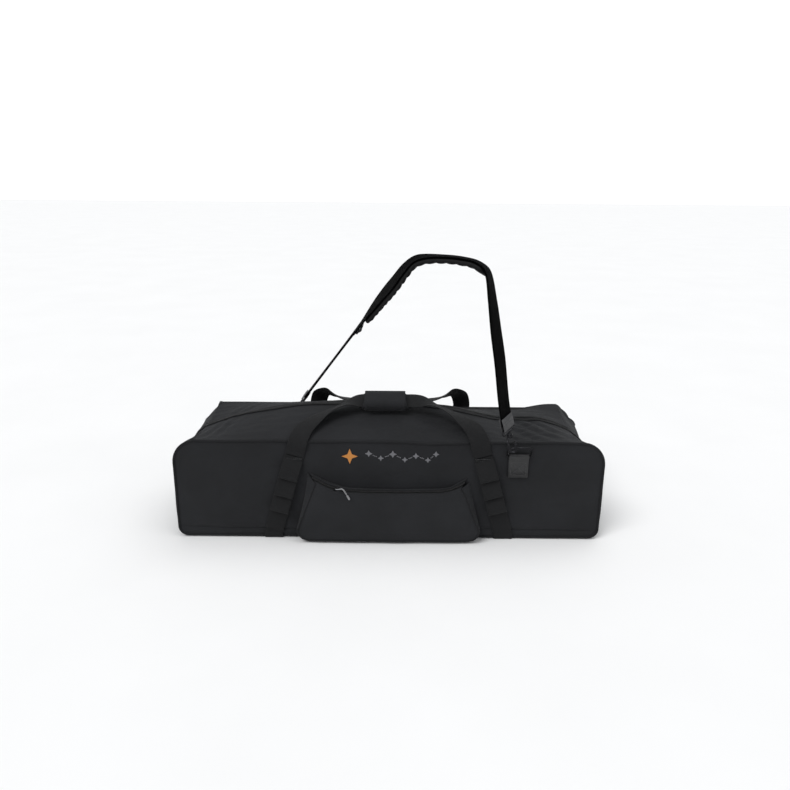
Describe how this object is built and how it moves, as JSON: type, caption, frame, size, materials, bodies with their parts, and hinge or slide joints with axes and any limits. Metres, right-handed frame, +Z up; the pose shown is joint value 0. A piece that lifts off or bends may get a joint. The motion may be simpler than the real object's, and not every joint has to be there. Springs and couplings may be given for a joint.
{
  "type": "telescope carry case",
  "caption": "Long padded soft case for a telescope tripod, with a ridge zip, front pocket, webbing handles and a clip-on shoulder strap.",
  "frame": {"origin": "centre of the base panel's underside", "axes": "+X along the case to the right as seen from the front, -Y to the front with the pocket, +Z up"},
  "size_m": [0.9048, 0.347, 0.5686],
  "materials": {
    "shell_fabric": "woven polyester, matt",
    "foam": "closed-cell foam",
    "board": "matt",
    "piping": "covered cord",
    "zip_tape": "woven tape with nylon coil",
    "webbing": "ribbed webbing",
    "strap_webbing": "ribbed webbing",
    "pad_fabric": "padded fabric",
    "vinyl": "embossed vinyl",
    "black_metal": "black, satin",
    "pull_grey": "satin"
  },
  "bodies": {
    "case": {"front_panel": "shell_fabric", "back_panel": "shell_fabric", "base_panel": "shell_fabric", "end_panel_left": "shell_fabric", "end_panel_right": "shell_fabric", "base_board": "board", "base_foam": "foam", "front_foam": "foam", "back_foam": "foam", "end_foam_left": "foam", "end_foam_right": "foam", "front_piping": "piping", "back_piping": "piping", "end_zip_left": "zip_tape", "end_zip_right": "zip_tape", "pocket_face": "shell_fabric", "pocket_gusset": "shell_fabric", "pocket_piping": "piping", "pocket_zip": "zip_tape", "band_left": "webbing", "band_right": "webbing", "gear_loops_front_left": "webbing", "gear_loops_front_right": "webbing", "gear_loops_back_left": "webbing", "gear_loops_back_right": "webbing", "ring_tab_front": "webbing", "ring_tab_back": "webbing"},
    "flap_front": {"top_flap_front": "shell_fabric", "flap_foam_front": "foam", "ridge_zip_front": "zip_tape"},
    "flap_back": {"top_flap_back": "shell_fabric", "flap_foam_back": "foam", "ridge_zip_back": "zip_tape"},
    "handle_front": {"handle_front": "webbing", "grip_wrap": "shell_fabric"},
    "handle_back": {"handle_back": "webbing"},
    "grip_flap": {"grip_flap": "shell_fabric"},
    "zip_slider_left": {"zip_slider_left": "black_metal"},
    "zip_slider_right": {"zip_slider_right": "black_metal"},
    "zip_pull_left": {"zip_pull_left": "black_metal"},
    "zip_pull_right": {"zip_pull_right": "black_metal"},
    "pocket_slider": {"pocket_slider": "black_metal"},
    "pocket_pull": {"pocket_pull": "pull_grey"},
    "ring_front": {"d_ring_front": "black_metal"},
    "ring_back": {"d_ring_back": "black_metal"},
    "strap": {"shoulder_strap": "strap_webbing", "shoulder_pad": "pad_fabric", "swivel_eye_front": "black_metal", "swivel_eye_back": "black_metal", "strap_tab_front": "vinyl", "strap_tab_back": "vinyl"},
    "hook_front": {"snap_hook_front": "black_metal"},
    "hook_back": {"snap_hook_back": "black_metal"},
    "trigger_front": {"hook_trigger_front": "black_metal"},
    "trigger_back": {"hook_trigger_back": "black_metal"},
    "adjuster": {"strap_adjuster": "black_metal"}
  },
  "joints": [
    {"name": "flap_front_hinge", "type": "hinge", "parent": "case", "child": "flap_front", "pos_m": [0, -0.1208, 0.2115], "axis": [1, 0, 0], "range_deg": [0, 72]},
    {"name": "flap_back_hinge", "type": "hinge", "parent": "case", "child": "flap_back", "pos_m": [0, 0.1208, 0.2115], "axis": [-1, 0, 0], "range_deg": [0, 72]},
    {"name": "handle_front_swing", "type": "hinge", "parent": "case", "child": "handle_front", "pos_m": [0, -0.131, 0.175], "axis": [1, 0, 0], "range_deg": [0, 144]},
    {"name": "handle_back_swing", "type": "hinge", "parent": "case", "child": "handle_back", "pos_m": [0, 0.131, 0.175], "axis": [-1, 0, 0], "range_deg": [0, 144]},
    {"name": "grip_flap_hinge", "type": "hinge", "parent": "handle_front", "child": "grip_flap", "pos_m": [-0.009, -0.02689, 0.28588], "axis": [-1, 0, 0], "range_deg": [0, 120]},
    {"name": "zip_slide_left", "type": "slide", "parent": "case", "child": "zip_slider_left", "axis": [0, 0, 1], "range_m": [0, 0.075]},
    {"name": "zip_slide_right", "type": "slide", "parent": "case", "child": "zip_slider_right", "axis": [0, 0, 1], "range_m": [0, 0.075]},
    {"name": "zip_pull_left_hinge", "type": "hinge", "parent": "zip_slider_left", "child": "zip_pull_left", "pos_m": [-0.4516, 0, 0.08], "axis": [0, 1, 0], "range_deg": [0, 110]},
    {"name": "zip_pull_right_hinge", "type": "hinge", "parent": "zip_slider_right", "child": "zip_pull_right", "pos_m": [0.4516, 0, 0.08], "axis": [0, -1, 0], "range_deg": [0, 110]},
    {"name": "pocket_slide", "type": "slide", "parent": "case", "child": "pocket_slider", "axis": [1, 0, 0], "range_m": [0, 0.225]},
    {"name": "pocket_pull_hinge", "type": "hinge", "parent": "pocket_slider", "child": "pocket_pull", "pos_m": [-0.105, -0.143, 0.1172], "axis": [0, -1, 0], "range_deg": [0, 110]},
    {"name": "ring_front_swing", "type": "hinge", "parent": "case", "child": "ring_front", "pos_m": [0.2585, -0.1305, 0.185], "axis": [1, 0, 0], "range_deg": [-3, 3]},
    {"name": "ring_back_swing", "type": "hinge", "parent": "case", "child": "ring_back", "pos_m": [-0.2508, 0.1305, 0.152], "axis": [1, 0, 0], "range_deg": [-3, 3]},
    {"name": "strap_swing", "type": "hinge", "parent": "case", "child": "strap", "pos_m": [0.24271, -0.14481, 0.20721], "axis": [-0.8525, 0.519, -0.0618], "range_deg": [-12, 0]},
    {"name": "hook_front_swivel", "type": "hinge", "parent": "strap", "child": "hook_front", "pos_m": [0.24271, -0.14481, 0.20721], "axis": [-0.268, -0.022, 0.9632], "range_deg": [-12, 12]},
    {"name": "hook_back_swivel", "type": "hinge", "parent": "strap", "child": "hook_back", "pos_m": [-0.23158, 0.14391, 0.17281], "axis": [0.5685, 0.2663, 0.7784], "range_deg": [-12, 12]},
    {"name": "trigger_front_slide", "type": "slide", "parent": "hook_front", "child": "trigger_front", "axis": [-0.268, -0.022, 0.9632], "range_m": [0, 0.006], "stiffness_N_per_m": 150},
    {"name": "trigger_back_slide", "type": "slide", "parent": "hook_back", "child": "trigger_back", "axis": [0.5685, 0.2663, 0.7784], "range_m": [0, 0.006], "stiffness_N_per_m": 150},
    {"name": "adjuster_slide", "type": "slide", "parent": "strap", "child": "adjuster", "axis": [-0.6032, 0, -0.7976], "range_m": [0, 0.09]}
  ],
  "couplings": [
    {"joint": "handle_front_swing", "follows": "flap_front_hinge", "ratio": 2},
    {"joint": "handle_back_swing", "follows": "flap_back_hinge", "ratio": 2}
  ]
}
